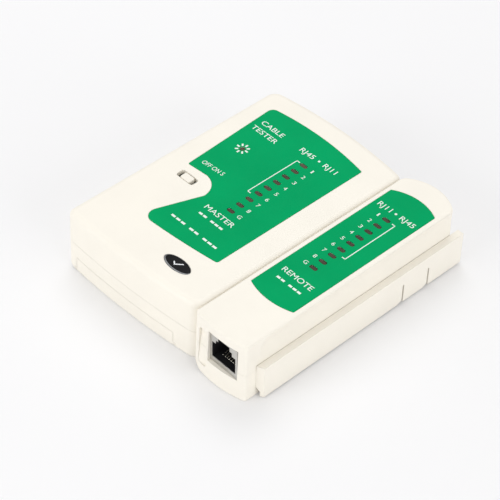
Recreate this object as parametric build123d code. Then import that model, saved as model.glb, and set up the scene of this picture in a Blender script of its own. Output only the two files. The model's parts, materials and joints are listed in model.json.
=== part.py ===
from build123d import *
import os

# Network cable tester: a battery-powered master unit, and a remote unit that hooks onto a rail on the
# master's side and slides off along it.
# Frame: X across both units (master at -X, remote at +X), Y along them, Z up from the flat underside.
# Millimetres. The origin is the centre of the footprint, on the surface that the tester stands on.

# ---------------------------------------------------------------- driving dimensions

CASE_TOP = 26.8  # top face of both cases
OVERALL_TOP = 27.0  # top of the badge, the highest piece
PARTING = 12.9  # level where the top and bottom shells meet
PARTING_GAP = 0.05
WALL = 1.8
CEILING = CASE_TOP - WALL

MASTER_LEFT = -48.5
MASTER_RIGHT = 20.1
REMOTE_LEFT = 20.4
REMOTE_RIGHT = 45.5

# End curves, as the Y of the left corner, the middle and the right corner.
MASTER_NEAR_TOP = (-53.3, -53.8, -51.2)
MASTER_NEAR_BOTTOM = (-54.3, -54.7, -51.5)
MASTER_FAR = (49.8, 53.0, 50.3)
REMOTE_NEAR_TOP = (-52.3, -53.3, -51.7)
REMOTE_NEAR_BOTTOM = (-53.3, -54.6, -52.1)
REMOTE_FAR = (49.8, 55.0, 50.3)

# Corner radii in plan: near-left, near-right, far-right, far-left.
MASTER_CORNERS = (2.6, 5.0, 3.0, 5.0)
REMOTE_CORNERS = (1.2, 1.2, 3.0, 4.0)
MASTER_TOP_ROUND = 2.4
REMOTE_TOP_ROUND = 0.7
BOTTOM_ROUND = 0.8
KEEL_ROUND = 6.0  # large round along the lower left edge

# Side rail: a bar on the wall with a plate hanging from it.
RAIL_DEPTH = 3.0
RAIL_PLATE = 1.5
RAIL_TOP = 15.1
RAIL_BAR_BOTTOM = 10.4
RAIL_NEAR = -46.0
RAIL_NOSE = 1.4
RAIL_GUSSET = 5.6
REMOTE_RAIL_BOTTOM = 0.6
REMOTE_RAIL_FAR = 54.2
MASTER_RAIL_BOTTOM = 2.2
MASTER_RAIL_FAR = 48.6
TONGUE_SLITS = (22.6, 35.8)
TONGUE_SLIT_TOP = 9.2
TONGUE_SLIT_WIDTH = 0.7
TONGUE_NOTCH = 2.2
RAIL_CLEARANCE = 0.35

# Channel in the remote's side for the master's rail, its near block's lower round, and the wall behind.
CHANNEL_BACK = 4.3
CHANNEL_ROOF = 16.6
NEAR_BLOCK_ROUND = 6.5

# Shallow scoop above the remote's rail, and upright flute beside its jack.
SCOOP_RADIUS = 12.3
SCOOP_DEPTH = 1.3
SCOOP_LEVEL = 20.7
SCOOP_NEAR = -40.0
SCOOP_BACKING = 3.0
FLUTE_X = 25.2
FLUTE_WIDTH = 4.4
FLUTE_HEIGHT = 16.8
FLUTE_LEVEL = 12.9
FLUTE_FLOOR_Y = -52.8
FLUTE_TILT = 6.0

# Circuit boards and lamps.
BOARD_BOTTOM = 22.9
BOARD_TOP = 24.1
MASTER_BOARD = ((-45.6, -18.6), (17.2, 47.0))
REMOTE_BOARD = ((25.4, -50.4), (42.2, 48.0))
LAMP_PITCH = 4.58
LAMP_COUNT = 9
LAMP_SIZE = (3.4, 1.6)
LAMP_TOP = 26.65
MASTER_LAMP_X = -8.4
MASTER_LAMP_Y = 26.8
REMOTE_LAMP_X = 32.6
REMOTE_LAMP_Y = 28.6
POWER_LAMP = (-30.7, 16.4)
POWER_LAMP_R = 1.0

# Labels.
LABEL_BOTTOM = 26.6
LABEL_TOP = 26.85
BADGE_CENTRE = (-0.6, -42.4)
BADGE_RADII = (6.4, 2.9)
BADGE_BOTTOM = 26.65

# Slide switch.
SWITCH = (-32.4, -9.6)
SWITCH_SLOT = (8.6, 3.9)
KNOB = (5.0, 3.4)
KNOB_TOP = 26.95

# Modular jacks: size of the metal front, plug opening and number of contacts.
JACK_TOP = 22.9
RJ45_WIDTH = 13.6
RJ45_HEIGHT = 13.8
RJ45_DEPTH = 16.0
RJ45_PLUG = 11.8
RJ45_PINS = 8
RJ11_WIDTH = 12.2
RJ11_HEIGHT = 13.2
RJ11_DEPTH = 15.0
RJ11_PLUG = 9.8
RJ11_PINS = 6
PIN_PITCH = 1.02
PLUG_FLOOR = 2.2  # floor of the plug opening above the base of an RJ45 jack
PIN_RISE = 2.2
PIN_THICKNESS = 0.3
REMOTE_JACK_X = 35.1
REMOTE_JACK_FRONT = -52.8
MASTER_RJ45_X = -13.0
MASTER_RJ11_X = 3.0
MASTER_JACK_FRONT = 52.4

# Battery and its door.
BATTERY_LEFT = -42.4
BATTERY_NEAR = -48.6
BATTERY_BOTTOM = 2.1
BATTERY_SIZE = (45.6, 26.2, 17.2)
TERMINAL_SPACING = 12.7
SNAP_HALF = 6.0
LEAD_R = 0.6
DOOR_LEFT = -43.2
DOOR_RIGHT = 8.6
DOOR_FAR = -21.9
DOOR_LIP_TOP = 6.6
DOOR_GAP = 0.1
DOOR_TONGUE = 1.1
DOOR_RIDGES = 6
BAY_WALL = 1.2
BAY_FAR = -19.7
BAY_RIGHT = 11.2
BAY_ROOF = 19.4

# Screws through the bosses.
MASTER_BOSSES = ((-41.5, 42.0), (14.6, 41.5), (14.6, -44.0), (-41.5, -13.5))
REMOTE_BOSSES = ((34.3, 41.0), (34.3, -27.5))
SCREW_R = 1.2
SCREW_HEAD_R = 2.4
SCREW_SEAT = 4.2
SCREW_TIP = 19.0
BOSS_R = 3.3
POST_R = 2.3

# ---------------------------------------------------------------- small helpers

STANDING = (Align.CENTER, Align.CENTER, Align.MIN)


def box_between(low, high):
    """A box from its lowest corner to its highest corner."""
    size = [b - a for a, b in zip(low, high)]
    return Pos(*low) * Box(*size, align=(Align.MIN, Align.MIN, Align.MIN))


def rod(x, y, z_low, z_high, radius):
    """A vertical cylinder."""
    return Pos(x, y, z_low) * Cylinder(radius, z_high - z_low, align=STANDING)


def stub(x, y, z, radius, length):
    """A cylinder that points along +X."""
    return Pos(x, y, z) * Rot(0, 90, 0) * Cylinder(radius, length, align=STANDING)


def prism(face, z_low, z_high):
    """A plan face drawn up between two levels."""
    return extrude(Pos(0, 0, z_low) * face, z_high - z_low)


def along_y(points, y_low, y_high):
    """A polygon of (x, z) points drawn along Y."""
    face = Plane.XZ * make_face(Polyline(*points, close=True))
    return Pos(0, y_high, 0) * extrude(face, y_high - y_low)


def rounded(face, corners, radii):
    """Round the vertices of a flat face that lie nearest to the given corners."""
    for corner, radius in zip(corners, radii):
        if radius > 0:
            vertex = face.vertices().sort_by_distance(Vector(*corner))[0]
            face = fillet(vertex, radius)
    return face


def outline(left, right, near, far, radii, inset=0.0):
    """Plan of a case with bowed ends; inset moves every side inwards."""
    left, right = left + inset, right - inset
    near = [y + inset for y in near]
    far = [y - inset for y in far]
    middle = (left + right) / 2
    edges = [
        ThreePointArc((left, near[0]), (middle, near[1]), (right, near[2])),
        Line((right, near[2]), (right, far[2])),
        ThreePointArc((right, far[2]), (middle, far[1]), (left, far[0])),
        Line((left, far[0]), (left, near[0])),
    ]
    corners = [(left, near[0]), (right, near[2]), (right, far[2]), (left, far[0])]
    return rounded(make_face(Curve() + edges), corners, [max(r - inset, 0.5) for r in radii])


def keel_cutter(left, radius, y_low, y_high):
    """What a large round takes off a lower left edge; its arc starts a hair outside the wall."""
    left = left - 0.01
    shift = radius * (1 - 0.5**0.5)
    edges = [
        Line((left - 9, -9), (left - 9, radius)),
        Line((left - 9, radius), (left, radius)),
        ThreePointArc((left, radius), (left + shift, shift), (left + radius, 0)),
        Line((left + radius, 0), (left + radius, -9)),
        Line((left + radius, -9), (left - 9, -9)),
    ]
    face = Plane.XZ * make_face(Curve() + edges)
    return Pos(0, y_high, 0) * extrude(face, y_high - y_low)


def case_block(left, right, near_bottom, near_top, far, radii, top_round):
    """The solid outer form of a case, with its near end leaning out towards the base."""
    base = outline(left, right, near_bottom, far, radii).faces()[0]
    crown = outline(left, right, near_top, far, radii).faces()[0]
    block = loft([base, Pos(0, 0, CASE_TOP) * crown], ruled=True)
    block = fillet(block.faces().sort_by(Axis.Z)[-1].edges(), top_round)
    return fillet(block.faces().sort_by(Axis.Z)[0].edges(), BOTTOM_ROUND)


def above(level):
    """Everything above a level."""
    return box_between((-80, -80, level), (80, 80, 60))


def below(level):
    """Everything below a level."""
    return box_between((-80, -80, -20), (80, 80, level))


def lamp_places(x, y):
    """Centres of a column of lamps."""
    return [(x, y - LAMP_PITCH * i) for i in range(LAMP_COUNT)]


def lamp_windows(places, grow, z_low, z_high):
    """Oval windows over a column of lamps."""
    length, width = LAMP_SIZE[0] + grow, LAMP_SIZE[1] + grow
    oval = SlotOverall(length, width)
    return Part() + [prism(Pos(x, y) * oval, z_low, z_high) for x, y in places]


# ---------------------------------------------------------------- cases


def split_case(block, cavity, lip_outer, lip_inner):
    """Cut a hollow case at the parting level, with a locating lip on the lower half."""
    hollow = block - cavity
    top = hollow & above(PARTING + PARTING_GAP)
    bottom = hollow & below(PARTING)
    low, high = PARTING - 1.5, PARTING + 1.2
    lip = prism(lip_outer, low, high) - prism(lip_inner, low - 1, high + 1)
    relief = prism(offset(lip_outer, 0.1), PARTING, high + 0.15)
    relief -= prism(offset(lip_inner, -0.1), PARTING - 1, high + 1)
    return top - relief, bottom + (lip & block)


def rail(wall, bottom, far, gusset):
    """A side rail: bar, hanging plate and a bevelled nose, which a gusset can close under the bar."""
    outer = wall + RAIL_DEPTH
    plate = outer - RAIL_PLATE
    section = [
        (wall - 0.6, RAIL_BAR_BOTTOM),
        (plate, RAIL_BAR_BOTTOM),
        (plate, bottom),
        (outer, bottom),
        (outer, RAIL_TOP),
        (wall + 0.15, RAIL_TOP),
        (wall + 0.15, PARTING),
        (wall - 0.6, PARTING),
    ]
    tip = RAIL_NEAR - RAIL_NOSE
    bar = along_y(section, tip, far)
    if gusset:
        web = [(wall - 0.6, RAIL_GUSSET), (outer, bottom), (outer, PARTING), (wall - 0.6, PARTING)]
        bar += along_y(web, tip, RAIL_NEAR + 2)
    bevel = make_face(Polyline((wall, tip), (outer, RAIL_NEAR), (outer + 1, RAIL_NEAR - 3), close=True))
    return bar - prism(bevel, -1, RAIL_TOP + 1)


def tongue_cutter(wall, bottom):
    """The two slits that free a springy tongue in the rail's plate, with a small notch before each."""
    low_x, high_x = wall + 0.4, wall + RAIL_DEPTH + 1
    cutter = Part()
    for y in TONGUE_SLITS:
        cutter += box_between((low_x, y, -1), (high_x, y + TONGUE_SLIT_WIDTH, TONGUE_SLIT_TOP))
        start = y - TONGUE_NOTCH
        points = [(start, bottom - 1), (start, bottom), (y, bottom + 1.1), (y, bottom - 1)]
        notch = Plane.YZ * make_face(Polyline(*points, close=True))
        cutter += Pos(low_x, 0, 0) * extrude(notch, high_x - low_x)
    return cutter


def boss_lower(x, y):
    """Lower screw boss."""
    return rod(x, y, 0.5, PARTING - 0.3, BOSS_R)


def boss_lower_hole(x, y):
    """Head pocket and shank hole of a lower boss."""
    return rod(x, y, -1, SCREW_SEAT, SCREW_HEAD_R + 0.25) + rod(x, y, 0, PARTING + 1, SCREW_R + 0.15)


def boss_upper(x, y):
    """Upper screw post, stepped to rest on the board."""
    return rod(x, y, BOARD_TOP, CEILING + 0.4, BOSS_R) + rod(x, y, PARTING, CEILING + 0.4, POST_R)


def boss_upper_hole(x, y):
    """Blind hole for the screw's thread."""
    return rod(x, y, PARTING - 1, SCREW_TIP + 1.4, SCREW_R + 0.05)


def screw(x, y):
    """Pan-head screw with a cross recess, head down."""
    body = rod(x, y, SCREW_SEAT - 1.7, SCREW_SEAT, SCREW_HEAD_R)
    body += rod(x, y, SCREW_SEAT, SCREW_TIP, SCREW_R)
    for half_x, half_y in ((1.5, 0.3), (0.3, 1.5)):
        body -= box_between((x - half_x, y - half_y, 0), (x + half_x, y + half_y, SCREW_SEAT - 0.8))
    return body


def jack_window(x, front, width, height):
    """Clearance cut through a case end for a jack's front."""
    half = width / 2 + 0.1
    return box_between((x - half, front - 8, JACK_TOP - height - 0.1), (x + half, front + 8, JACK_TOP + 0.1))


# ---------------------------------------------------------------- labels


def master_label_face():
    """Green label: straight right side, bowed ends, and a notch that goes round the switch."""
    far_left, far_right = (-40.35, 41.0), (8.3, 40.5)
    near_right, lobe = (8.15, -31.5), (-29.4, -35.0)
    notch_low, notch_top, tip = (-20.75, -11.6), (-28.6, -3.45), (-37.9, -4.2)
    edges = [
        ThreePointArc(far_left, (-15.5, 43.1), far_right),
        Line(far_right, near_right),
        ThreePointArc(near_right, (-7.5, -33.5), lobe),
        Line(lobe, notch_low),
        ThreePointArc(notch_low, (-22.9, -6.1), notch_top),
        Line(notch_top, tip),
        Line(tip, far_left),
    ]
    corners = [far_left, far_right, near_right, lobe, tip]
    return rounded(make_face(Curve() + edges), corners, (2.6, 0.5, 1.0, 3.9, 0.5))


def remote_label_face():
    """Green label of the remote: straight sides, a slight bow near and a strong bow far."""
    near_left, near_right = (22.6, -28.6), (43.6, -28.3)
    far_right, far_left = (43.6, 42.4), (22.45, 41.6)
    edges = [
        ThreePointArc(near_left, (31.5, -30.45), near_right),
        Line(near_right, far_right),
        ThreePointArc(far_right, (33.9, 45.0), far_left),
        Line(far_left, near_left),
    ]
    return rounded(make_face(Curve() + edges), [near_left, near_right, far_right, far_left], (0.6,) * 4)


# ---------------------------------------------------------------- electrical pieces


def lamp(x, y):
    """A low oval lamp with its base flange, standing on the board."""
    lens = prism(Pos(x, y) * SlotOverall(*LAMP_SIZE), BOARD_TOP, LAMP_TOP)
    lens = fillet(lens.faces().sort_by(Axis.Z)[-1].edges(), 0.3)
    base = box_between((x - 2.0, y - 1.1, BOARD_TOP), (x + 2.0, y + 1.1, BOARD_TOP + 0.7))
    return lens + base


def round_lamp(x, y):
    """The round power lamp."""
    lens = rod(x, y, BOARD_TOP, LAMP_TOP, POWER_LAMP_R)
    lens = fillet(lens.faces().sort_by(Axis.Z)[-1].edges(), 0.5)
    return lens + rod(x, y, BOARD_TOP, BOARD_TOP + 0.7, POWER_LAMP_R + 0.35)


def jack_opening(plug, depth):
    """The stepped plug opening with its latch slot, from a front at y = 0 inwards."""
    half = plug / 2
    low, shoulder, step, roof = PLUG_FLOOR, 9.6, 11.2, 13.0
    section = [
        (-half, low),
        (half, low),
        (half, shoulder),
        (4.1, shoulder),
        (4.1, step),
        (2.9, step),
        (2.9, roof),
        (-2.9, roof),
        (-2.9, step),
        (-4.1, step),
        (-4.1, shoulder),
        (-half, shoulder),
    ]
    return along_y(section, -1, depth)


def jack(width, height, depth, plug, pins):
    """Shield, housing and contacts of a modular jack that opens towards -Y, its base corner at z = 0."""
    skin = 0.3
    half = width / 2
    opening = Pos(0, 0, height - RJ45_HEIGHT) * jack_opening(plug, depth - 3.0)
    outer = box_between((-half, 0, 0), (half, depth, height))
    inner = box_between((-half + skin, skin, skin), (half - skin, depth + 1, height - skin))
    shield = outer - inner - opening
    body = box_between((-half + skin, skin, skin), (half - skin, depth, height - skin))
    housing = body - opening
    floor = height - RJ45_HEIGHT + PLUG_FLOOR
    raised = floor + PIN_RISE
    spring = [
        (3.0, floor),
        (3.4, floor),
        (10.6, raised),
        (depth - 3.0, raised),
        (depth - 3.0, raised + PIN_THICKNESS),
        (10.5, raised + PIN_THICKNESS),
    ]
    strip = extrude(Plane.YZ * make_face(Polyline(*spring, close=True)), 0.2, both=True)
    first = -(pins - 1) / 2 * PIN_PITCH
    contacts = [Pos(first + PIN_PITCH * i, 0, 0) * strip for i in range(pins)]
    return shield, housing, Compound(children=[c.solids()[0] for c in contacts])


def placed_jack(x, front, toward_far, sizes):
    """A jack set in its case, opening at the near or the far end."""
    turn = Rot(0, 0, 180) if toward_far else Rot(0, 0, 0)
    place = Pos(x, front, JACK_TOP - sizes[1]) * turn
    return [place * piece for piece in jack(*sizes)]


def chip(x, y, pins, turned):
    """A dual in-line chip hanging under the board with its pins soldered to it."""
    length = pins / 2 * 2.54 - 0.6
    body = box_between((-length / 2, -3.2, -3.9), (length / 2, 3.2, -0.6))
    body = chamfer(body.edges().filter_by(Axis.X), 0.4)
    body -= Pos(-length / 2, 0, -3.9) * Cylinder(0.8, 0.8)
    first = -(pins / 2 - 1) / 2 * 2.54
    for i in range(pins // 2):
        x_pin = first + 2.54 * i
        for side in (-1, 1):
            y_in, y_out = sorted((side * 3.0, side * 3.85))
            y_leg = sorted((side * 3.6, side * 3.85))
            body += box_between((x_pin - 0.3, y_in, -2.4), (x_pin + 0.3, y_out, -2.1))
            body += box_between((x_pin - 0.3, y_leg[0], -2.4), (x_pin + 0.3, y_leg[1], 0))
    return Pos(x, y, BOARD_BOTTOM) * Rot(0, 0, 90 if turned else 0) * body


def axial_part(x, y, radius, length, span):
    """A resistor or diode lying along X under the board on two bent legs."""
    level = -radius - 0.4
    body = Pos(0, 0, level) * Rot(0, 90, 0) * Cylinder(radius, length)
    body = fillet(body.edges().filter_by(GeomType.CIRCLE), radius * 0.3)
    leg = Pos(0, 0, level) * Rot(0, 90, 0) * Cylinder(0.25, span)
    posts = [Pos(side * (span / 2 - 0.25), 0, 0) * rod(0, 0, level, 0, 0.25) for side in (-1, 1)]
    return Pos(x, y, BOARD_BOTTOM) * (body + leg + posts)


def group(pieces):
    """Several separate like solids as one node."""
    return Compound(children=[p.solids()[0] for p in pieces])


def lead(points, radii):
    """A thin insulated wire along straight runs joined by arcs."""
    path = FilletPolyline(*points, radius=radii)
    return sweep(Plane(origin=path @ 0, z_dir=path % 0) * Circle(LEAD_R), path=path)


# ---------------------------------------------------------------- master unit


def master_block():
    """Solid outer form of the master."""
    block = case_block(
        MASTER_LEFT,
        MASTER_RIGHT,
        MASTER_NEAR_BOTTOM,
        MASTER_NEAR_TOP,
        MASTER_FAR,
        MASTER_CORNERS,
        MASTER_TOP_ROUND,
    )
    return block - keel_cutter(MASTER_LEFT, KEEL_ROUND, -70, 70)


def master_plan(inset):
    """Plan of the master, moved inwards."""
    return outline(MASTER_LEFT, MASTER_RIGHT, MASTER_NEAR_TOP, MASTER_FAR, MASTER_CORNERS, inset)


def master_shells():
    """Top and bottom shells of the master."""
    block = master_block()
    inner = master_plan(WALL)
    cavity = prism(inner, WALL, CEILING) - keel_cutter(MASTER_LEFT + WALL, KEEL_ROUND - 0.6, -70, 70)
    top, bottom = split_case(block, cavity, master_plan(WALL / 2), inner)
    for x, y in MASTER_BOSSES:
        top += boss_upper(x, y)
        bottom += boss_lower(x, y)
    for x, y in MASTER_BOSSES:
        top -= boss_upper_hole(x, y)
        bottom -= boss_lower_hole(x, y)
    badge_seat = Pos(*BADGE_CENTRE) * Ellipse(BADGE_RADII[0] + 0.1, BADGE_RADII[1] + 0.1)
    slot = fillet(Rectangle(*SWITCH_SLOT).vertices(), 1.0)
    top -= prism(offset(master_label_face(), 0.12), LABEL_BOTTOM, CASE_TOP + 1)
    top -= prism(badge_seat, BADGE_BOTTOM, CASE_TOP + 1)
    top -= lamp_windows(lamp_places(MASTER_LAMP_X, MASTER_LAMP_Y), 0.5, CEILING - 1, CASE_TOP)
    top -= rod(*POWER_LAMP, CEILING - 1, CASE_TOP, POWER_LAMP_R + 0.25)
    top -= prism(Pos(*SWITCH) * slot, CEILING - 1, CASE_TOP + 1)
    for x, width, height in (
        (MASTER_RJ45_X, RJ45_WIDTH, RJ45_HEIGHT),
        (MASTER_RJ11_X, RJ11_WIDTH, RJ11_HEIGHT),
    ):
        window = jack_window(x, MASTER_JACK_FRONT, width, height)
        top -= window
        bottom -= window
    return top, battery_bay(bottom, block)


def battery_bay(bottom, block):
    """Cut the door opening and its grooves, add the ribs round the battery, and add the rail."""
    inside = MASTER_LEFT + WALL + 0.1
    bay_left = BATTERY_LEFT - 2.3
    ribs = box_between((inside, BAY_FAR - BAY_WALL, 1.0), (BAY_RIGHT, BAY_FAR, BAY_ROOF))
    ribs += box_between((BAY_RIGHT - BAY_WALL, -50.2, 1.0), (BAY_RIGHT, BAY_FAR, BAY_ROOF))
    ribs += box_between((bay_left - BAY_WALL, -49.0, 3.6), (bay_left, BAY_FAR, BAY_ROOF))
    bottom += ribs & block
    groove = DOOR_TONGUE + DOOR_GAP
    bottom -= box_between(
        (DOOR_LEFT - DOOR_GAP, -80, -1),
        (DOOR_RIGHT + DOOR_GAP, DOOR_FAR + DOOR_GAP, DOOR_LIP_TOP + DOOR_GAP),
    )
    bottom -= box_between(
        (DOOR_LEFT - groove, -80, 0.8),
        (DOOR_RIGHT + groove, DOOR_FAR + DOOR_GAP, WALL + 0.1),
    )
    bottom += rail(MASTER_RIGHT, MASTER_RAIL_BOTTOM, MASTER_RAIL_FAR, gusset=False)
    return bottom - tongue_cutter(MASTER_RIGHT, MASTER_RAIL_BOTTOM)


def battery_door():
    """Sliding door: floor plate, upturned lip that follows the near end, side tongues and thumb ridges."""
    block = master_block()
    door = block & box_between((DOOR_LEFT, -80, -1), (DOOR_RIGHT, DOOR_FAR, DOOR_LIP_TOP))
    door -= prism(master_plan(WALL), WALL, CASE_TOP)
    tongues = box_between((DOOR_LEFT - DOOR_TONGUE, -80, 0.9), (DOOR_RIGHT + DOOR_TONGUE, DOOR_FAR, WALL))
    door += tongues & block
    for i in range(DOOR_RIDGES):
        y = -48.0 + 1.8 * i
        door -= box_between((-28.0, y, -1), (-7.0, y + 0.8, 0.4))
    return door


def master_board():
    """Circuit board of the master, with holes for the posts and a slot for the switch knob."""
    board = box_between((*MASTER_BOARD[0], BOARD_BOTTOM), (*MASTER_BOARD[1], BOARD_TOP))
    board = chamfer(board.edges().filter_by(Axis.Z), 2.5)
    for x, y in MASTER_BOSSES:
        board -= rod(x, y, 20, 30, POST_R + 0.2)
    return board - prism(Pos(*SWITCH) * Rectangle(9.4, 3.6), 20, 30)


def switch_case():
    """Body of the three-position slide switch, under the board."""
    x, y = SWITCH
    case = box_between((x - 5.6, y - 3.0, 17.4), (x + 5.6, y + 3.0, BOARD_BOTTOM))
    case = chamfer(case.faces().sort_by(Axis.Z)[0].edges(), 0.5)
    case -= box_between((x - 3.6, y - 1.3, 19.6), (x + 3.6, y + 1.3, 30))
    for i in range(4):
        case += box_between((x - 4.1 + 2.5 * i, y - 0.3, 14.6), (x - 3.5 + 2.5 * i, y + 0.3, 17.6))
    return case


def switch_knob():
    """Smooth knob with rounded ends, on the stem that works the switch."""
    x, y = SWITCH
    low = BOARD_TOP + 0.15
    head = prism(Pos(x, y) * fillet(Rectangle(*KNOB).vertices(), 0.8), low, KNOB_TOP)
    head = fillet(head.faces().sort_by(Axis.Z)[-1].edges(), 0.5)
    return head + box_between((x - 1.5, y - 0.9, 19.9), (x + 1.5, y + 0.9, low))


def battery_pieces():
    """Nine-volt battery: can, two terminals, snap-on connector and foam pad."""
    length, depth, height = BATTERY_SIZE
    end = BATTERY_LEFT + length
    y = BATTERY_NEAR + depth / 2
    z = BATTERY_BOTTOM + height / 2
    can = box_between(
        (BATTERY_LEFT, BATTERY_NEAR, BATTERY_BOTTOM),
        (end, BATTERY_NEAR + depth, BATTERY_BOTTOM + height),
    )
    can = fillet(can.edges().filter_by(Axis.X), 2.2)
    y_positive, y_negative = y - TERMINAL_SPACING / 2, y + TERMINAL_SPACING / 2
    positive = stub(end, y_positive, z, 2.9, 2.6)
    negative = stub(end, y_negative, z, 4.2, 2.6) - stub(end + 1.0, y_negative, z, 2.9, 3.0)
    snap = box_between((end + 0.6, y - 12.6, z - SNAP_HALF), (end + 4.4, y + 12.6, z + SNAP_HALF))
    snap = fillet(snap.edges().filter_by(Axis.X), 2.5)
    snap -= stub(end, y_positive, z, 3.1, 2.9)
    snap -= stub(end, y_negative, z, 4.4, 2.9)
    pad = box_between((-32.0, -43.5, BATTERY_BOTTOM + height), (-8.0, -27.5, CEILING))
    return can, positive, negative, snap, pad


def battery_leads():
    """Routes of the red and black leads: out of the connector, over the bay's wall, up to the board."""
    end = BATTERY_LEFT + BATTERY_SIZE[0]
    level = BATTERY_BOTTOM + BATTERY_SIZE[2] / 2 + SNAP_HALF
    routes = []
    for x_start, x_end, y_start, y_end in (
        (end + 1.4, end + 1.2, -36.0, -17.0),
        (end + 3.4, end + 4.6, -30.0, -15.0),
    ):
        route = [
            (x_start, y_start, level),
            (x_start, y_start, level + 3.6),
            (x_end, (y_start + y_end) / 2, level + 4.4),
            (x_end, y_end, level + 4.0),
            (x_end, y_end, BOARD_BOTTOM),
        ]
        routes.append(route)
    return routes


# ---------------------------------------------------------------- remote unit


def remote_plan(inset):
    """Plan of the remote, moved inwards."""
    return outline(REMOTE_LEFT, REMOTE_RIGHT, REMOTE_NEAR_TOP, REMOTE_FAR, REMOTE_CORNERS, inset)


def remote_shells():
    """Top and bottom shells of the remote."""
    block = case_block(
        REMOTE_LEFT,
        REMOTE_RIGHT,
        REMOTE_NEAR_BOTTOM,
        REMOTE_NEAR_TOP,
        REMOTE_FAR,
        REMOTE_CORNERS,
        REMOTE_TOP_ROUND,
    )
    nose_end = RAIL_NEAR - RAIL_NOSE
    block -= keel_cutter(REMOTE_LEFT, NEAR_BLOCK_ROUND, -70, nose_end - 1.0)
    block -= side_scoop(REMOTE_RIGHT)
    inner = remote_plan(WALL)
    back = REMOTE_LEFT + CHANNEL_BACK
    channel_side = box_between((REMOTE_LEFT, -80, 0), (back, 80, CHANNEL_ROOF))
    near_block = box_between((REMOTE_LEFT, -80, 0), (back, nose_end, CEILING))
    scoop_backing = box_between((REMOTE_RIGHT - SCOOP_BACKING, -80, 13.5), (REMOTE_RIGHT, 80, 27))
    cavity = prism(inner, WALL, CEILING) - channel_side - near_block - scoop_backing
    top, bottom = split_case(block, cavity, remote_plan(WALL / 2), inner)
    for x, y in REMOTE_BOSSES:
        top += boss_upper(x, y)
        bottom += boss_lower(x, y)
    for x, y in REMOTE_BOSSES:
        top -= boss_upper_hole(x, y)
        bottom -= boss_lower_hole(x, y)
    for cutter in (
        rail_channel(),
        jack_window(REMOTE_JACK_X, REMOTE_JACK_FRONT, RJ45_WIDTH, RJ45_HEIGHT),
        near_flute(),
    ):
        top -= cutter
        bottom -= cutter
    top -= prism(offset(remote_label_face(), 0.12), LABEL_BOTTOM, CASE_TOP + 1)
    top -= lamp_windows(lamp_places(REMOTE_LAMP_X, REMOTE_LAMP_Y), 0.5, CEILING - 1, CASE_TOP)
    bottom += rail(REMOTE_RIGHT, REMOTE_RAIL_BOTTOM, REMOTE_RAIL_FAR, gusset=True)
    return top, bottom - tongue_cutter(REMOTE_RIGHT, REMOTE_RAIL_BOTTOM)


def side_scoop(wall):
    """A long shallow scoop in the wall above the rail, with a rounded near end."""
    place = Pos(wall - SCOOP_DEPTH + SCOOP_RADIUS, SCOOP_NEAR, SCOOP_LEVEL)
    trough = Rot(-90, 0, 0) * Cylinder(SCOOP_RADIUS, 120, align=STANDING)
    return place * (trough + Sphere(SCOOP_RADIUS)) & above(RAIL_TOP)


def rail_channel():
    """The hooked channel in the remote's side, open at the far end, that takes the master's rail."""
    gap = RAIL_CLEARANCE
    mouth = REMOTE_LEFT - 1
    outer = MASTER_RIGHT + RAIL_DEPTH + gap
    inner = MASTER_RIGHT + RAIL_DEPTH - RAIL_PLATE - gap
    low, step, high = MASTER_RAIL_BOTTOM - gap, RAIL_BAR_BOTTOM - gap, RAIL_TOP + gap
    near = RAIL_NEAR - RAIL_NOSE - gap
    section = [(mouth, step), (inner, step), (inner, low), (outer, low), (outer, high), (mouth, high)]
    return along_y(section, near, 80)


def near_flute():
    """Shallow upright flute beside the jack, deepest at its top."""
    shape = fillet(Rectangle(FLUTE_WIDTH, FLUTE_HEIGHT).vertices(), 1.2)
    place = Pos(FLUTE_X, FLUTE_FLOOR_Y, FLUTE_LEVEL) * Rot(-FLUTE_TILT, 0, 0)
    return place * extrude(Plane.XZ * shape, 6)


def remote_board():
    """Circuit board of the remote."""
    board = box_between((*REMOTE_BOARD[0], BOARD_BOTTOM), (*REMOTE_BOARD[1], BOARD_TOP))
    board = chamfer(board.edges().filter_by(Axis.Z), 1.5)
    for x, y in REMOTE_BOSSES:
        board -= rod(x, y, 20, 30, POST_R + 0.2)
    return board


# ---------------------------------------------------------------- assemble and write

nodes = {}

nodes["master_top_shell"], nodes["master_bottom_shell"] = master_shells()
nodes["battery_door"] = battery_door()
master_lamps = lamp_places(MASTER_LAMP_X, MASTER_LAMP_Y)
nodes["master_label"] = prism(master_label_face(), LABEL_BOTTOM, LABEL_TOP)
nodes["master_label"] -= lamp_windows(master_lamps, 0.2, 20, 30)
nodes["master_label"] -= rod(*POWER_LAMP, 20, 30, POWER_LAMP_R + 0.1)
nodes["oval_badge"] = prism(Pos(*BADGE_CENTRE) * Ellipse(*BADGE_RADII), BADGE_BOTTOM, OVERALL_TOP)
nodes["master_board"] = master_board()
nodes["switch_case"] = switch_case()
nodes["switch_knob"] = switch_knob()
nodes["power_lamp"] = round_lamp(*POWER_LAMP)

remote_lamps = lamp_places(REMOTE_LAMP_X, REMOTE_LAMP_Y)
for unit, places in (("master", master_lamps), ("remote", remote_lamps)):
    for number, (x, y) in enumerate(places, start=1):
        mark = str(number) if number < LAMP_COUNT else "ground"
        nodes[f"{unit}_lamp_{mark}"] = lamp(x, y)

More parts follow.
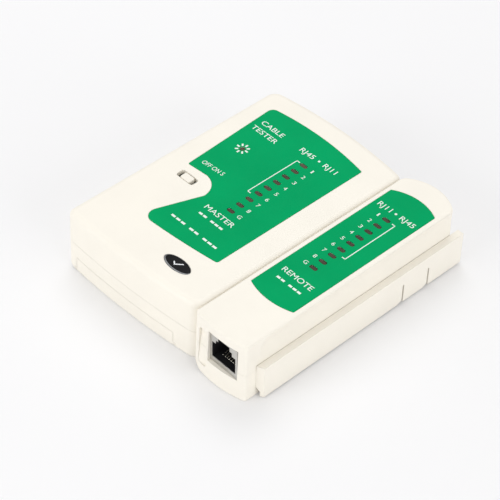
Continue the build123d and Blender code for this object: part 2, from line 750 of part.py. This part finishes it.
rj45 = (RJ45_WIDTH, RJ45_HEIGHT, RJ45_DEPTH, RJ45_PLUG, RJ45_PINS)
rj11 = (RJ11_WIDTH, RJ11_HEIGHT, RJ11_DEPTH, RJ11_PLUG, RJ11_PINS)
for name, x, front, toward_far, sizes in (
    ("master_rj45", MASTER_RJ45_X, MASTER_JACK_FRONT, True, rj45),
    ("master_rj11", MASTER_RJ11_X, MASTER_JACK_FRONT, True, rj11),
    ("remote_rj45", REMOTE_JACK_X, REMOTE_JACK_FRONT, False, rj45),
):
    shield, housing, contacts = placed_jack(x, front, toward_far, sizes)
    nodes[f"{name}_shield"] = shield
    nodes[f"{name}_housing"] = housing
    nodes[f"{name}_contacts"] = contacts

can, positive, negative, snap, pad = battery_pieces()
nodes["battery_can"] = can
nodes["battery_positive_terminal"] = positive
nodes["battery_negative_terminal"] = negative
nodes["battery_snap"] = snap
nodes["battery_foam_pad"] = pad
for colour, route in zip(("red", "black"), battery_leads()):
    nodes[f"battery_lead_{colour}"] = lead(route, 1.4)

nodes["counter_chip"] = chip(-22.0, 22.0, 16, False)
nodes["timer_chip"] = chip(-22.0, 4.0, 8, False)
nodes["master_resistors"] = group([axial_part(4.0, 4.0 + 4.2 * i, 1.1, 6.2, 10.2) for i in range(5)])
nodes["timing_capacitors"] = group([rod(-38.0 + 8 * i, 8.0, 15.4, BOARD_BOTTOM, 2.5) for i in (0, 1)])
nodes["master_screws"] = group([screw(x, y) for x, y in MASTER_BOSSES])

nodes["remote_top_shell"], nodes["remote_bottom_shell"] = remote_shells()
nodes["remote_label"] = prism(remote_label_face(), LABEL_BOTTOM, LABEL_TOP)
nodes["remote_label"] -= lamp_windows(remote_lamps, 0.2, 20, 30)
nodes["remote_board"] = remote_board()
nodes["remote_diodes"] = group([axial_part(33.8, -18.0 + 6.0 * i, 0.95, 4.2, 8.2) for i in range(8)])
nodes["remote_screws"] = group([screw(x, y) for x, y in REMOTE_BOSSES])

os.makedirs("parts", exist_ok=True)
for name, shape in nodes.items():
    shape.label = name
    export_step(shape, f"parts/{name}.step")
print(len(nodes), "nodes written")
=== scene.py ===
import json
from math import cos, pi, radians, sin

import bmesh
import bpy
from mathutils import Matrix, Vector


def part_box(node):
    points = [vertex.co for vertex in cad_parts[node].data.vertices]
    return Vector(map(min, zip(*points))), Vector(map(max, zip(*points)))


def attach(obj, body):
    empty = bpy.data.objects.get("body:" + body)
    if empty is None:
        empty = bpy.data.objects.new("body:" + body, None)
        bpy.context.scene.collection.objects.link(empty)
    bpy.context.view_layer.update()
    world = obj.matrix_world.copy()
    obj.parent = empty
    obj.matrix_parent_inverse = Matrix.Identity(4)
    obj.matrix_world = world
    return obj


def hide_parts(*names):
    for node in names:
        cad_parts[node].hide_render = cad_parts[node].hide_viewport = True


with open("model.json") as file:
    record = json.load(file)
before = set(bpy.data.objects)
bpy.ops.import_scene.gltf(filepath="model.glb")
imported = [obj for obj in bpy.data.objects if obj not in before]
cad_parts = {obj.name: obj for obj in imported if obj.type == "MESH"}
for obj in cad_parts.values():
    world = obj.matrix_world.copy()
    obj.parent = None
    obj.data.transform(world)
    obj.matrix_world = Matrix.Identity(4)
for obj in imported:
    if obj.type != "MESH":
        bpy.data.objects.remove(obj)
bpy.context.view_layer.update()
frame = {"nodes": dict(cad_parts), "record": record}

# Network cable tester. The CAD pieces keep their shapes and get their finishes here. The printing on the
# labels, the domed badge and the scene round the object are added. Lengths are in metres.

MM = 0.001

# ---------------------------------------------------------------- places taken from the frame

LABEL_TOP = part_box("master_label")[1].z
PRINT_SINK = 0.004 * MM  # how deep the printing sits in the label
PRINT_RISE = 0.02 * MM  # how far it stands above the label
LAMP_MARKS = ["1", "2", "3", "4", "5", "6", "7", "8", "ground"]


def centre_of(node):
    """Middle of a CAD node's box."""
    low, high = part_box(node)
    return (low + high) / 2


MASTER_LAMPS = [centre_of(f"master_lamp_{mark}") for mark in LAMP_MARKS]
REMOTE_LAMPS = [centre_of(f"remote_lamp_{mark}") for mark in LAMP_MARKS]
POWER_LAMP = centre_of("power_lamp")
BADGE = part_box("oval_badge")

# ---------------------------------------------------------------- materials

# Noise scales, in features per metre.
DRIFT_SCALE = 45.0  # slow change of colour
SCUFF_SCALE = 700.0  # patches of wear on edges
SHEEN_SCALE = 260.0  # change of roughness
DRAWN_SCALE = 1500.0  # fine lines of drawn or plated metal
STAIN_SCALE = 300.0
SPECKLE_SCALE = 500.0

# How the rounded and the true normal agree, on a flat face and on an edge.
FLAT_DOT = 0.995
EDGE_DOT = 0.86


class Finish:
    """A procedural material: a Principled surface with shared helpers for its node graph."""

    def __init__(self, name):
        self.material = bpy.data.materials.new(name)
        self.material.use_nodes = True
        self.nodes = self.material.node_tree.nodes
        self.links = self.material.node_tree.links
        self.surface = self.nodes["Principled BSDF"]
        self.place = self.nodes.new("ShaderNodeTexCoord").outputs["Object"]

    def noise(self, scale, detail, stretch=None):
        """Noise in object space; a stretch scales it differently along each axis."""
        place = self.place
        if stretch:
            mapping = self.nodes.new("ShaderNodeMapping")
            mapping.inputs["Scale"].default_value = stretch
            self.links.new(place, mapping.inputs["Vector"])
            place = mapping.outputs["Vector"]
        noise = self.nodes.new("ShaderNodeTexNoise")
        noise.inputs["Scale"].default_value = scale
        noise.inputs["Detail"].default_value = detail
        self.links.new(place, noise.inputs["Vector"])
        return noise.outputs["Fac"]

    def spread(self, value, low, high, to_low, to_high):
        """Map a value from one range to another."""
        node = self.nodes.new("ShaderNodeMapRange")
        self.links.new(value, node.inputs["Value"])
        sockets = ("From Min", "From Max", "To Min", "To Max")
        for socket, number in zip(sockets, (low, high, to_low, to_high)):
            node.inputs[socket].default_value = number
        return node.outputs["Result"]

    def blend(self, factor, first, second):
        """Mix two colours; each is a colour or the output of another node."""
        node = self.nodes.new("ShaderNodeMix")
        node.data_type = "RGBA"
        self.links.new(factor, node.inputs[0])
        for socket, colour in ((node.inputs[6], first), (node.inputs[7], second)):
            if isinstance(colour, tuple):
                socket.default_value = (*colour, 1.0)
            else:
                self.links.new(colour, socket)
        return node.outputs[2]

    def edges(self, radius):
        """The rounded normal of nearby edges, and a mask that is 1 on them."""
        bevel = self.nodes.new("ShaderNodeBevel")
        bevel.samples = 4
        bevel.inputs["Radius"].default_value = radius
        geometry = self.nodes.new("ShaderNodeNewGeometry")
        dot = self.nodes.new("ShaderNodeVectorMath")
        dot.operation = "DOT_PRODUCT"
        self.links.new(bevel.outputs["Normal"], dot.inputs[0])
        self.links.new(geometry.outputs["Normal"], dot.inputs[1])
        mask = self.spread(dot.outputs["Value"], FLAT_DOT, EDGE_DOT, 0.0, 1.0)
        return bevel.outputs["Normal"], mask

    def relief(self, height, depth, strength, normal):
        """Bump the surface by a height field that is depth metres tall."""
        bump = self.nodes.new("ShaderNodeBump")
        bump.inputs["Distance"].default_value = depth
        bump.inputs["Strength"].default_value = strength
        self.links.new(height, bump.inputs["Height"])
        self.links.new(normal, bump.inputs["Normal"])
        self.links.new(bump.outputs["Normal"], self.surface.inputs["Normal"])

    def colour(self, output):
        """Use a node's output as the base colour."""
        self.links.new(output, self.surface.inputs["Base Color"])

    def set(self, **values):
        """Set constant inputs of the surface by name, with underscores for spaces."""
        for name, value in values.items():
            self.surface.inputs[name.replace("_", " ")].default_value = value


def shade(colour, factor):
    """A colour made darker or lighter."""
    return tuple(min(1.0, part * factor) for part in colour)


def moulded(name, colour, rough, grain, depth, mottle=0.03, wear=1.04, radius=0.2 * MM, **values):
    """Moulded or printed plastic: fine grain, slow colour drift and polished or scuffed edges."""
    finish = Finish(name)
    drift = finish.spread(finish.noise(DRIFT_SCALE, 4.0), 0.35, 0.65, 0.0, 1.0)
    body = finish.blend(drift, shade(colour, 1 - mottle), shade(colour, 1 + mottle * 0.6))
    normal, edge = finish.edges(radius)
    scuff = finish.spread(finish.noise(SCUFF_SCALE, 3.0), 0.42, 0.6, 0.15, 0.8)
    worn = finish.nodes.new("ShaderNodeMath")
    worn.operation = "MULTIPLY"
    finish.links.new(edge, worn.inputs[0])
    finish.links.new(scuff, worn.inputs[1])
    finish.colour(finish.blend(worn.outputs[0], body, shade(colour, wear)))
    smooth = finish.spread(finish.noise(SHEEN_SCALE, 3.0), 0.3, 0.7, rough - 0.05, rough + 0.06)
    finish.links.new(smooth, finish.surface.inputs["Roughness"])
    finish.relief(finish.noise(grain, 3.0), depth, 0.6, normal)
    finish.set(**values)
    return finish.material


def brushed(name, colour, rough, stretch):
    """Plated or brushed metal with fine drawn lines, and a painted highlight along its edges."""
    finish = Finish(name)
    lines = finish.noise(DRAWN_SCALE, 3.0, stretch)
    stain = finish.spread(finish.noise(STAIN_SCALE, 4.0), 0.35, 0.7, 0.0, 1.0)
    normal, edge = finish.edges(0.12 * MM)
    tone = finish.blend(stain, shade(colour, 0.86), shade(colour, 1.05))
    # Every edge is painted lighter than the metal: a painted highlight along the edges.
    finish.colour(finish.blend(edge, tone, shade(colour, 1.25)))
    sheen = finish.spread(lines, 0.3, 0.7, rough - 0.08, rough + 0.12)
    finish.links.new(sheen, finish.surface.inputs["Roughness"])
    finish.relief(lines, 0.006 * MM, 0.5, normal)
    finish.set(Metallic=1.0)
    return finish.material


def banded(name, bands, rough, grain, depth, **values):
    """A surface painted in bands along X; each band is (where it starts in metres, colour)."""
    finish = Finish(name)
    split = finish.nodes.new("ShaderNodeSeparateXYZ")
    finish.links.new(finish.place, split.inputs["Vector"])
    along = split.outputs["X"]
    result = bands[0][1]
    for start, colour in bands[1:]:
        step = finish.nodes.new("ShaderNodeMath")
        step.operation = "GREATER_THAN"
        step.inputs[1].default_value = start
        finish.links.new(along, step.inputs[0])
        result = finish.blend(step.outputs[0], result, colour)
    speckle = finish.spread(finish.noise(SPECKLE_SCALE, 3.0), 0.55, 0.75, 0.0, 0.25)
    finish.colour(finish.blend(speckle, result, (0.35, 0.34, 0.33)))
    normal, _ = finish.edges(0.15 * MM)
    finish.relief(finish.noise(grain, 3.0), depth, 0.5, normal)
    finish.set(Roughness=rough, **values)
    return finish.material


CREAM = (0.935, 0.893, 0.8)
GREEN = (0.0, 0.37, 0.125)

case_plastic = moulded(
    "case_plastic",
    CREAM,
    rough=0.42,
    grain=5200.0,
    depth=0.012 * MM,
    mottle=0.018,
    wear=1.05,
    radius=0.3 * MM,
)
knob_plastic = moulded(
    "knob_plastic",
    shade(CREAM, 0.98),
    rough=0.36,
    grain=6000.0,
    depth=0.01 * MM,
    mottle=0.02,
)
label_film = moulded(
    "label_film",
    GREEN,
    rough=0.55,
    grain=9000.0,
    depth=0.004 * MM,
    mottle=0.05,
    wear=1.25,
    radius=0.06 * MM,
    Specular_IOR_Level=0.03,
)
print_white = moulded(
    "print_white",
    (0.88, 0.93, 0.89),
    rough=0.5,
    grain=9000.0,
    depth=0.004 * MM,
    mottle=0.04,
    wear=1.0,
    radius=0.02 * MM,
)
badge_black = moulded(
    "badge_black",
    (0.006, 0.006, 0.007),
    rough=0.3,
    grain=3000.0,
    depth=0.004 * MM,
    mottle=0.2,
    wear=2.5,
    radius=0.05 * MM,
    Specular_IOR_Level=0.06,
)
badge_silver = brushed("badge_silver", (0.17, 0.175, 0.18), rough=0.36, stretch=(1.0, 12.0, 1.0))
tick_silver = brushed("tick_silver", (0.5, 0.51, 0.52), rough=0.4, stretch=(1.0, 12.0, 1.0))
lamp_lens = moulded(
    "lamp_lens",
    (0.115, 0.085, 0.055),
    rough=0.4,
    grain=2400.0,
    depth=0.02 * MM,
    mottle=0.5,
    wear=1.7,
    radius=0.2 * MM,
    Specular_IOR_Level=0.12,
)
shield_metal = brushed("shield_metal", (0.6, 0.59, 0.56), rough=0.34, stretch=(1.0, 1.0, 9.0))
jack_plastic = moulded(
    "jack_plastic",
    (0.012, 0.012, 0.014),
    rough=0.45,
    grain=4000.0,
    depth=0.015 * MM,
    mottle=0.2,
    wear=2.2,
    radius=0.1 * MM,
)
contact_metal = brushed("contact_metal", (0.95, 0.86, 0.68), rough=0.22, stretch=(1.0, 8.0, 1.0))
switch_steel = brushed("switch_steel", (0.7, 0.7, 0.72), rough=0.32, stretch=(9.0, 1.0, 1.0))
screw_steel = brushed("screw_steel", (0.55, 0.56, 0.6), rough=0.3, stretch=(1.0, 1.0, 1.0))
terminal_metal = brushed("terminal_metal", (0.85, 0.85, 0.86), rough=0.2, stretch=(6.0, 1.0, 1.0))
circuit_board = moulded(
    "circuit_board",
    (0.02, 0.13, 0.045),
    rough=0.35,
    grain=2600.0,
    depth=0.02 * MM,
    mottle=0.25,
    wear=1.8,
)
snap_plastic = moulded(
    "snap_plastic",
    (0.02, 0.02, 0.02),
    rough=0.5,
    grain=3000.0,
    depth=0.02 * MM,
    mottle=0.2,
    wear=1.8,
)
foam = moulded(
    "foam",
    (0.045, 0.045, 0.05),
    rough=0.9,
    grain=1400.0,
    depth=0.25 * MM,
    mottle=0.3,
    wear=1.4,
)
lead_red = moulded(
    "lead_red",
    (0.5, 0.012, 0.01),
    rough=0.4,
    grain=3000.0,
    depth=0.01 * MM,
    mottle=0.1,
    wear=1.2,
)
lead_black = moulded(
    "lead_black",
    (0.015, 0.015, 0.016),
    rough=0.4,
    grain=3000.0,
    depth=0.01 * MM,
    mottle=0.1,
    wear=1.6,
)
chip_plastic = moulded(
    "chip_plastic",
    (0.022, 0.022, 0.024),
    rough=0.55,
    grain=3600.0,
    depth=0.02 * MM,
    mottle=0.2,
    wear=1.8,
)
capacitor_sleeve = moulded(
    "capacitor_sleeve",
    (0.02, 0.035, 0.13),
    rough=0.3,
    grain=3000.0,
    depth=0.01 * MM,
    mottle=0.15,
    wear=1.5,
)

battery_low, battery_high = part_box("battery_can")
band_edge = battery_low.x + 0.72 * (battery_high.x - battery_low.x)
battery_jacket = banded(
    "battery_jacket",
    [
        (0.0, (0.02, 0.022, 0.03)),
        (band_edge - 1.2 * MM, (0.75, 0.74, 0.7)),
        (band_edge, (0.55, 0.3, 0.08)),
        (battery_high.x - 0.8 * MM, (0.6, 0.6, 0.6)),
    ],
    rough=0.32,
    grain=1500.0,
    depth=0.008 * MM,
    Metallic=0.7,
)
BEIGE = (0.62, 0.5, 0.32)
resistor_x = centre_of("master_resistors").x
resistor_body = banded(
    "resistor_body",
    [
        (0.0, BEIGE),
        (resistor_x - 2.0 * MM, (0.24, 0.09, 0.03)),
        (resistor_x - 1.5 * MM, BEIGE),
        (resistor_x - 0.9 * MM, (0.02, 0.02, 0.02)),
        (resistor_x - 0.4 * MM, BEIGE),
        (resistor_x + 0.2 * MM, (0.6, 0.16, 0.02)),
        (resistor_x + 0.7 * MM, BEIGE),
        (resistor_x + 1.7 * MM, (0.6, 0.42, 0.1)),
        (resistor_x + 2.2 * MM, BEIGE),
    ],
    rough=0.4,
    grain=2500.0,
    depth=0.01 * MM,
)
GLASS_ORANGE = (0.55, 0.18, 0.04)
diode_x = centre_of("remote_diodes").x
diode_body = banded(
    "diode_body",
    [
        (0.0, GLASS_ORANGE),
        (diode_x + 1.0 * MM, (0.015, 0.015, 0.015)),
        (diode_x + 1.6 * MM, GLASS_ORANGE),
    ],
    rough=0.2,
    grain=2500.0,
    depth=0.006 * MM,
    Coat_Weight=0.6,
)

FINISHES = {
    "case_plastic": case_plastic,
    "label_film": label_film,
    "badge_film": badge_black,
    "circuit_board": circuit_board,
    "lamp_lens": lamp_lens,
    "knob_plastic": knob_plastic,
    "switch_steel": switch_steel,
    "shield_metal": shield_metal,
    "jack_plastic": jack_plastic,
    "contact_metal": contact_metal,
    "battery_jacket": battery_jacket,
    "terminal_metal": terminal_metal,
    "snap_plastic": snap_plastic,
    "foam": foam,
    "lead_red": lead_red,
    "lead_black": lead_black,
    "chip_plastic": chip_plastic,
    "resistor_body": resistor_body,
    "capacitor_sleeve": capacitor_sleeve,
    "diode_body": diode_body,
    "screw_steel": screw_steel,
}

for part in frame["record"]["subparts"]:
    node = frame["nodes"][part["node"]]
    for slot in node.material_slots:
        slot.material = FINISHES[part["material_slot"]]

# ---------------------------------------------------------------- printing on the labels


def letters(text):
    """Flat letters in the font's own units, standing on y = 0."""
    curve = bpy.data.curves.new("words", "FONT")
    curve.body = text
    curve.extrude = 1.0
    curve.resolution_u = 5
    holder = bpy.data.objects.new("words", curve)
    bpy.context.scene.collection.objects.link(holder)
    mesh = bpy.data.meshes.new_from_object(holder)
    bpy.data.objects.remove(holder)
    return mesh


CAPITAL = max(vertex.co.y for vertex in letters("H").vertices)


class Sheet:
    """Thin printed marks gathered into one mesh that lies on a label."""

    def __init__(self):
        self.mesh = bmesh.new()

    def slab(self, outline):
        """A flat mark with the given outline, a list of (x, y) in metres."""
        low = [self.mesh.verts.new((x, y, LABEL_TOP - PRINT_SINK)) for x, y in outline]
        high = [self.mesh.verts.new((x, y, LABEL_TOP + PRINT_RISE)) for x, y in outline]
        self.mesh.faces.new(high)
        self.mesh.faces.new(low[::-1])
        for i, corner in enumerate(low):
            after = (i + 1) % len(low)
            self.mesh.faces.new((corner, low[after], high[after], high[i]))

    def stroke(self, start, end, width):
        """A straight bar with square ends between two points."""
        start, end = Vector(start), Vector(end)
        side = (end - start).normalized().orthogonal() * width / 2
        self.slab([tuple(p) for p in (start - side, end - side, end + side, start + side)])

    def bracket(self, x, y_low, y_high, reach, width):
        """A long line beside a row of lamps, with a short hook at each end."""
        self.stroke((x, y_low), (x, y_high), width)
        for y in (y_low, y_high):
            self.stroke((x, y), (x + reach, y), width)

    def dot(self, x, y, radius, sides=20):
        """A round mark."""
        angles = [2 * pi * i / sides for i in range(sides)]
        self.slab([(x + radius * cos(angle), y + radius * sin(angle)) for angle in angles])

    def dashes(self, x_low, x_high, y, height, counts):
        """Plain bars in groups, where a code would stand; counts gives the bars in each group."""
        units = sum(counts) + DASH_GAP * (sum(counts) - 1) + (len(counts) - 1)
        width = (x_high - x_low) / units
        x = x_low
        for count in counts:
            for _ in range(count):
                self.slab([
                    (x, y - height / 2),
                    (x + width, y - height / 2),
                    (x + width, y + height / 2),
                    (x, y + height / 2),
                ])
                x += width * (1 + DASH_GAP)
            x += width

    def words(self, text, x_low, x_high, y, height, slope=0.0):
        """Capitals between two x places, height tall, centred on y, rising by slope along X."""
        mesh = letters(text)
        points = [vertex.co for vertex in mesh.vertices]
        left, right = min(p.x for p in points), max(p.x for p in points)
        for point in points:
            along = (point.x - left) / (right - left)
            up = point.y / CAPITAL - 0.5
            point.x = x_low + along * (x_high - x_low)
            point.y = y + up * height + (along - 0.5) * slope
            point.z = LABEL_TOP + PRINT_RISE if point.z > 0 else LABEL_TOP - PRINT_SINK
        self.mesh.from_mesh(mesh)

    def finish(self, name, material, body):
        """Make the object, and let it ride on a body."""
        mesh = bpy.data.meshes.new(name)
        self.mesh.to_mesh(mesh)
        piece = bpy.data.objects.new(name, mesh)
        bpy.context.scene.collection.objects.link(piece)
        mesh.materials.append(material)
        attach(piece, body)
        return piece


CAP = 2.3 * MM  # height of the words' capitals
SMALL_CAP = 2.0 * MM
DIGIT = 1.7 * MM  # height of the numbers
DIGIT_WIDTHS = {"1": 0.36, "G": 1.0}  # as shares of the height
PLAIN_DIGIT_WIDTH = 0.72
LINE = 0.38 * MM  # width of the brackets' lines
HOOK = 1.5 * MM
DOT = 0.5 * MM
DASH = 0.9 * MM
DASH_GAP = 0.32  # as a share of a dash's length
RAYS = 8  # round the power lamp
RAY_START = 1.55 * MM
RAY_END = 2.85 * MM
RAY_WIDTH = 0.68 * MM


def lamp_numbers(sheet, lamps, x):
    """A number beside each lamp, and a G beside the last."""
    for mark, lamp in zip(LAMP_MARKS, lamps):
        text = "G" if mark == "ground" else mark
        width = DIGIT_WIDTHS.get(text, PLAIN_DIGIT_WIDTH) * DIGIT
        sheet.words(text, x - width / 2, x + width / 2, lamp.y, DIGIT)


def master_printing():
    """Words, numbers and marks on the master's label."""
    sheet = Sheet()
    sheet.words("CABLE", -36.9 * MM, -25.4 * MM, 32.7 * MM, CAP)
    sheet.words("TESTER", -37.7 * MM, -24.6 * MM, 28.3 * MM, CAP)
    sheet.words("OFF ON S", -35.2 * MM, -24.6 * MM, 1.0 * MM, SMALL_CAP, 0.7 * MM)
    sheet.words("RJ45", -15.9 * MM, -8.9 * MM, 32.8 * MM, CAP)
    sheet.words("RJ11", -3.6 * MM, 2.7 * MM, 32.8 * MM, CAP)
    sheet.dot(-6.3 * MM, 32.8 * MM, DOT)
    sheet.words("MASTER", -16.3 * MM, -1.5 * MM, -14.8 * MM, CAP)
    sheet.dashes(-15.4 * MM, -3.1 * MM, -18.9 * MM, DASH, (2, 3))
    sheet.dashes(-21.2 * MM, 2.7 * MM, -27.0 * MM, DASH, (3, 2, 3))
    sheet.bracket(-12.1 * MM, MASTER_LAMPS[5].y - 2.0 * MM, MASTER_LAMPS[0].y + 0.2 * MM, HOOK, LINE)
    lamp_numbers(sheet, MASTER_LAMPS, -3.8 * MM)
    centre = POWER_LAMP.xy
    for i in range(RAYS):
        angle = 2 * pi * i / RAYS
        ray = Vector((cos(angle), sin(angle)))
        sheet.stroke(centre + ray * RAY_START, centre + ray * RAY_END, RAY_WIDTH)
    return sheet.finish("master_print", print_white, "master")


def remote_printing():
    """Words, numbers and marks on the remote's label."""
    sheet = Sheet()
    sheet.words("RJ11", 24.3 * MM, 30.5 * MM, 33.4 * MM, CAP)
    sheet.words("RJ45", 35.2 * MM, 42.0 * MM, 33.4 * MM, CAP)
    sheet.dot(32.8 * MM, 33.4 * MM, DOT)
    sheet.words("REMOTE", 25.6 * MM, 40.1 * MM, -15.9 * MM, CAP)
    sheet.dashes(27.0 * MM, 38.8 * MM, -20.4 * MM, DASH, (2, 3))
    sheet.bracket(36.95 * MM, REMOTE_LAMPS[5].y - 2.5 * MM, REMOTE_LAMPS[0].y, -HOOK, LINE)
    lamp_numbers(sheet, REMOTE_LAMPS, 28.7 * MM)
    return sheet.finish("remote_print", print_white, "remote")


master_printing()
remote_printing()

# ---------------------------------------------------------------- badge

RIM_SHARE = 0.45  # how much of the badge's height is its upright rim
DOME_POWER = 0.35  # flattens the dome's middle
DOME_RINGS = 10
DOME_SIDES = 72
BORDER_DROP = 0.1 * MM  # the border stays lower than the face
FACE_INSET = 0.3 * MM
FACE_SHIFT = Vector((0.12 * MM, 0.16 * MM, 0))
TICK_HALF = 0.26 * MM


def dome(name, centre, radii, base, crown, material):
    """A low oval dome on a short upright rim."""
    mesh = bmesh.new()
    rise = crown - base
    levels = [(1.0, base), (1.0, base + RIM_SHARE * rise)]
    for i in range(1, DOME_RINGS):
        turn = i / DOME_RINGS * pi / 2
        level = base + (RIM_SHARE + (1 - RIM_SHARE) * sin(turn)) * rise
        levels.append((cos(turn) ** DOME_POWER, level))
    loops = []
    for factor, z in levels:
        loop = []
        for k in range(DOME_SIDES):
            angle = 2 * pi * k / DOME_SIDES
            x = centre.x + radii[0] * factor * cos(angle)
            y = centre.y + radii[1] * factor * sin(angle)
            loop.append(mesh.verts.new((x, y, z)))
        loops.append(loop)
    for lower, upper in zip(loops, loops[1:]):
        for k in range(DOME_SIDES):
            after = (k + 1) % DOME_SIDES
            mesh.faces.new((lower[k], lower[after], upper[after], upper[k]))
    mesh.faces.new(loops[-1])
    mesh.faces.new(loops[0][::-1])
    data = bpy.data.meshes.new(name)
    mesh.to_mesh(data)
    for face in data.polygons:
        face.use_smooth = len(face.vertices) == 4
    piece = bpy.data.objects.new(name, data)
    bpy.context.scene.collection.objects.link(piece)
    data.materials.append(material)
    return piece


def badge_piece(piece):
    """Let a piece of the badge ride on the master."""
    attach(piece, "master")


def badge_tick(centre, low, high):
    """A plain tick on the badge between two levels."""
    knee = Vector((-0.7 * MM, -1.1 * MM))
    outline = [
        knee + Vector((0, -TICK_HALF)),
        knee + Vector((2.6 * MM, 2.2 * MM)),
        knee + Vector((2.2 * MM, 2.5 * MM)),
        knee + Vector((0, 0.45 * MM)),
        knee + Vector((-1.1 * MM, 1.3 * MM)),
        knee + Vector((-1.45 * MM, 0.95 * MM)),
    ]
    tick = bmesh.new()
    for z in (low, high):
        for p in outline:
            tick.verts.new((centre.x + p.x, centre.y + p.y, z))
    tick.verts.ensure_lookup_table()
    count = len(outline)
    tick.faces.new([tick.verts[count + i] for i in range(count)])
    tick.faces.new([tick.verts[count - 1 - i] for i in range(count)])
    for i in range(count):
        after = (i + 1) % count
        tick.faces.new([tick.verts[k] for k in (i, after, count + after, count + i)])
    data = bpy.data.meshes.new("badge_mark")
    tick.to_mesh(data)
    mark = bpy.data.objects.new("badge_mark", data)
    bpy.context.scene.collection.objects.link(mark)
    data.materials.append(tick_silver)
    badge_piece(mark)


def badge():
    """Black oval sticker, set a little off the middle of a silver border, with a plain tick."""
    low, high = BADGE
    centre = (low + high) / 2
    radii = ((high.x - low.x) / 2, (high.y - low.y) / 2)
    border = dome("badge_border", centre, radii, low.z, high.z - BORDER_DROP, badge_silver)
    badge_piece(border)
    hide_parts("oval_badge")
    face_centre = centre + FACE_SHIFT
    face_radii = tuple(radius - FACE_INSET for radius in radii)
    face_low, face_high = low.z + 0.02 * MM, high.z - 0.03 * MM
    badge_piece(dome("badge_face", face_centre, face_radii, face_low, face_high, badge_black))
    badge_tick(face_centre, high.z - 0.06 * MM, high.z - 0.005 * MM)


badge()

# ---------------------------------------------------------------- floor, light and camera

FLOOR_SIZE = 6.0
FLOOR_DROP = 0.05 * MM  # keeps the floor off the flat undersides
CAMERA_FILL = 0.085  # how much the floor glows towards the camera and in reflections
AMBIENT = 0.62  # strength of the world's light on the object


def floor():
    """A large pale floor, a little brighter to the camera and in reflections."""
    finish = Finish("floor")
    finish.set(Roughness=0.9)
    tone = finish.spread(finish.noise(3.0, 2.0), 0.3, 0.7, 0.0, 1.0)
    finish.colour(finish.blend(tone, (0.84, 0.84, 0.85), (0.86, 0.86, 0.87)))
    path = finish.nodes.new("ShaderNodeLightPath")
    seen = finish.nodes.new("ShaderNodeMath")
    seen.operation = "MAXIMUM"
    finish.links.new(path.outputs["Is Camera Ray"], seen.inputs[0])
    finish.links.new(path.outputs["Is Glossy Ray"], seen.inputs[1])
    lift = finish.spread(seen.outputs[0], 0.0, 1.0, 0.0, CAMERA_FILL)
    finish.links.new(lift, finish.surface.inputs["Emission Strength"])
    finish.surface.inputs["Emission Color"].default_value = (1.0, 1.0, 1.0, 1.0)
    half = FLOOR_SIZE / 2
    data = bpy.data.meshes.new("floor")
    corners = [(-half, -half), (half, -half), (half, half), (-half, half)]
    data.from_pydata([(x, y, -FLOOR_DROP) for x, y in corners], [], [(0, 1, 2, 3)])
    data.materials.append(finish.material)
    plane = bpy.data.objects.new("floor", data)
    bpy.context.scene.collection.objects.link(plane)


def studio_world():
    """Soft even light, seen as plain white by the camera and in reflections."""
    world = bpy.data.worlds.new("studio")
    bpy.context.scene.world = world
    world.use_nodes = True
    nodes, links = world.node_tree.nodes, world.node_tree.links
    ambient = nodes["Background"]
    ambient.inputs["Color"].default_value = (1.0, 0.995, 0.99, 1.0)
    ambient.inputs["Strength"].default_value = AMBIENT
    white = nodes.new("ShaderNodeBackground")
    white.inputs["Strength"].default_value = 1.0
    path = nodes.new("ShaderNodeLightPath")
    seen = nodes.new("ShaderNodeMath")
    seen.operation = "MAXIMUM"
    links.new(path.outputs["Is Camera Ray"], seen.inputs[0])
    links.new(path.outputs["Is Glossy Ray"], seen.inputs[1])
    mix = nodes.new("ShaderNodeMixShader")
    links.new(seen.outputs[0], mix.inputs["Fac"])
    links.new(ambient.outputs[0], mix.inputs[1])
    links.new(white.outputs[0], mix.inputs[2])
    links.new(mix.outputs[0], nodes["World Output"].inputs["Surface"])


def softbox(name, place, size, power):
    """A square area lamp that faces the object."""
    lamp = bpy.data.lights.new(name, "AREA")
    lamp.size = size
    lamp.energy = power
    holder = bpy.data.objects.new(name, lamp)
    bpy.context.scene.collection.objects.link(holder)
    holder.location = place
    holder.rotation_euler = (-Vector(place)).to_track_quat("-Z", "Y").to_euler()


def camera():
    """A long lens from the near right, aimed at a point on the object and rolled a little."""
    azimuth, elevation, roll = radians(46.17), radians(44.15), radians(1.396)
    distance, target = 0.6728, Vector((0.9 * MM, -8.7 * MM, 13.0 * MM))
    data = bpy.data.cameras.new("camera")
    data.lens = 132.86
    data.sensor_width = 36.0
    data.clip_start = 0.01
    holder = bpy.data.objects.new("camera", data)
    bpy.context.scene.collection.objects.link(holder)
    turn = (
        Matrix.Rotation(azimuth, 4, "Z")
        @ Matrix.Rotation(pi / 2 - elevation, 4, "X")
        @ Matrix.Rotation(roll, 4, "Z")
    )
    holder.matrix_world = Matrix.Translation(target) @ turn @ Matrix.Translation((0, 0, distance))
    bpy.context.scene.camera = holder


floor()
studio_world()
softbox("key", place=(-0.45, 0.4, 1.1), size=0.8, power=4.5)
softbox("near_fill", place=(-0.25, -1.2, 0.4), size=0.9, power=5.6)
softbox("side_fill", place=(1.2, 0.05, 0.4), size=0.9, power=4.7)
camera()
bpy.context.scene.view_settings.view_transform = "Standard"
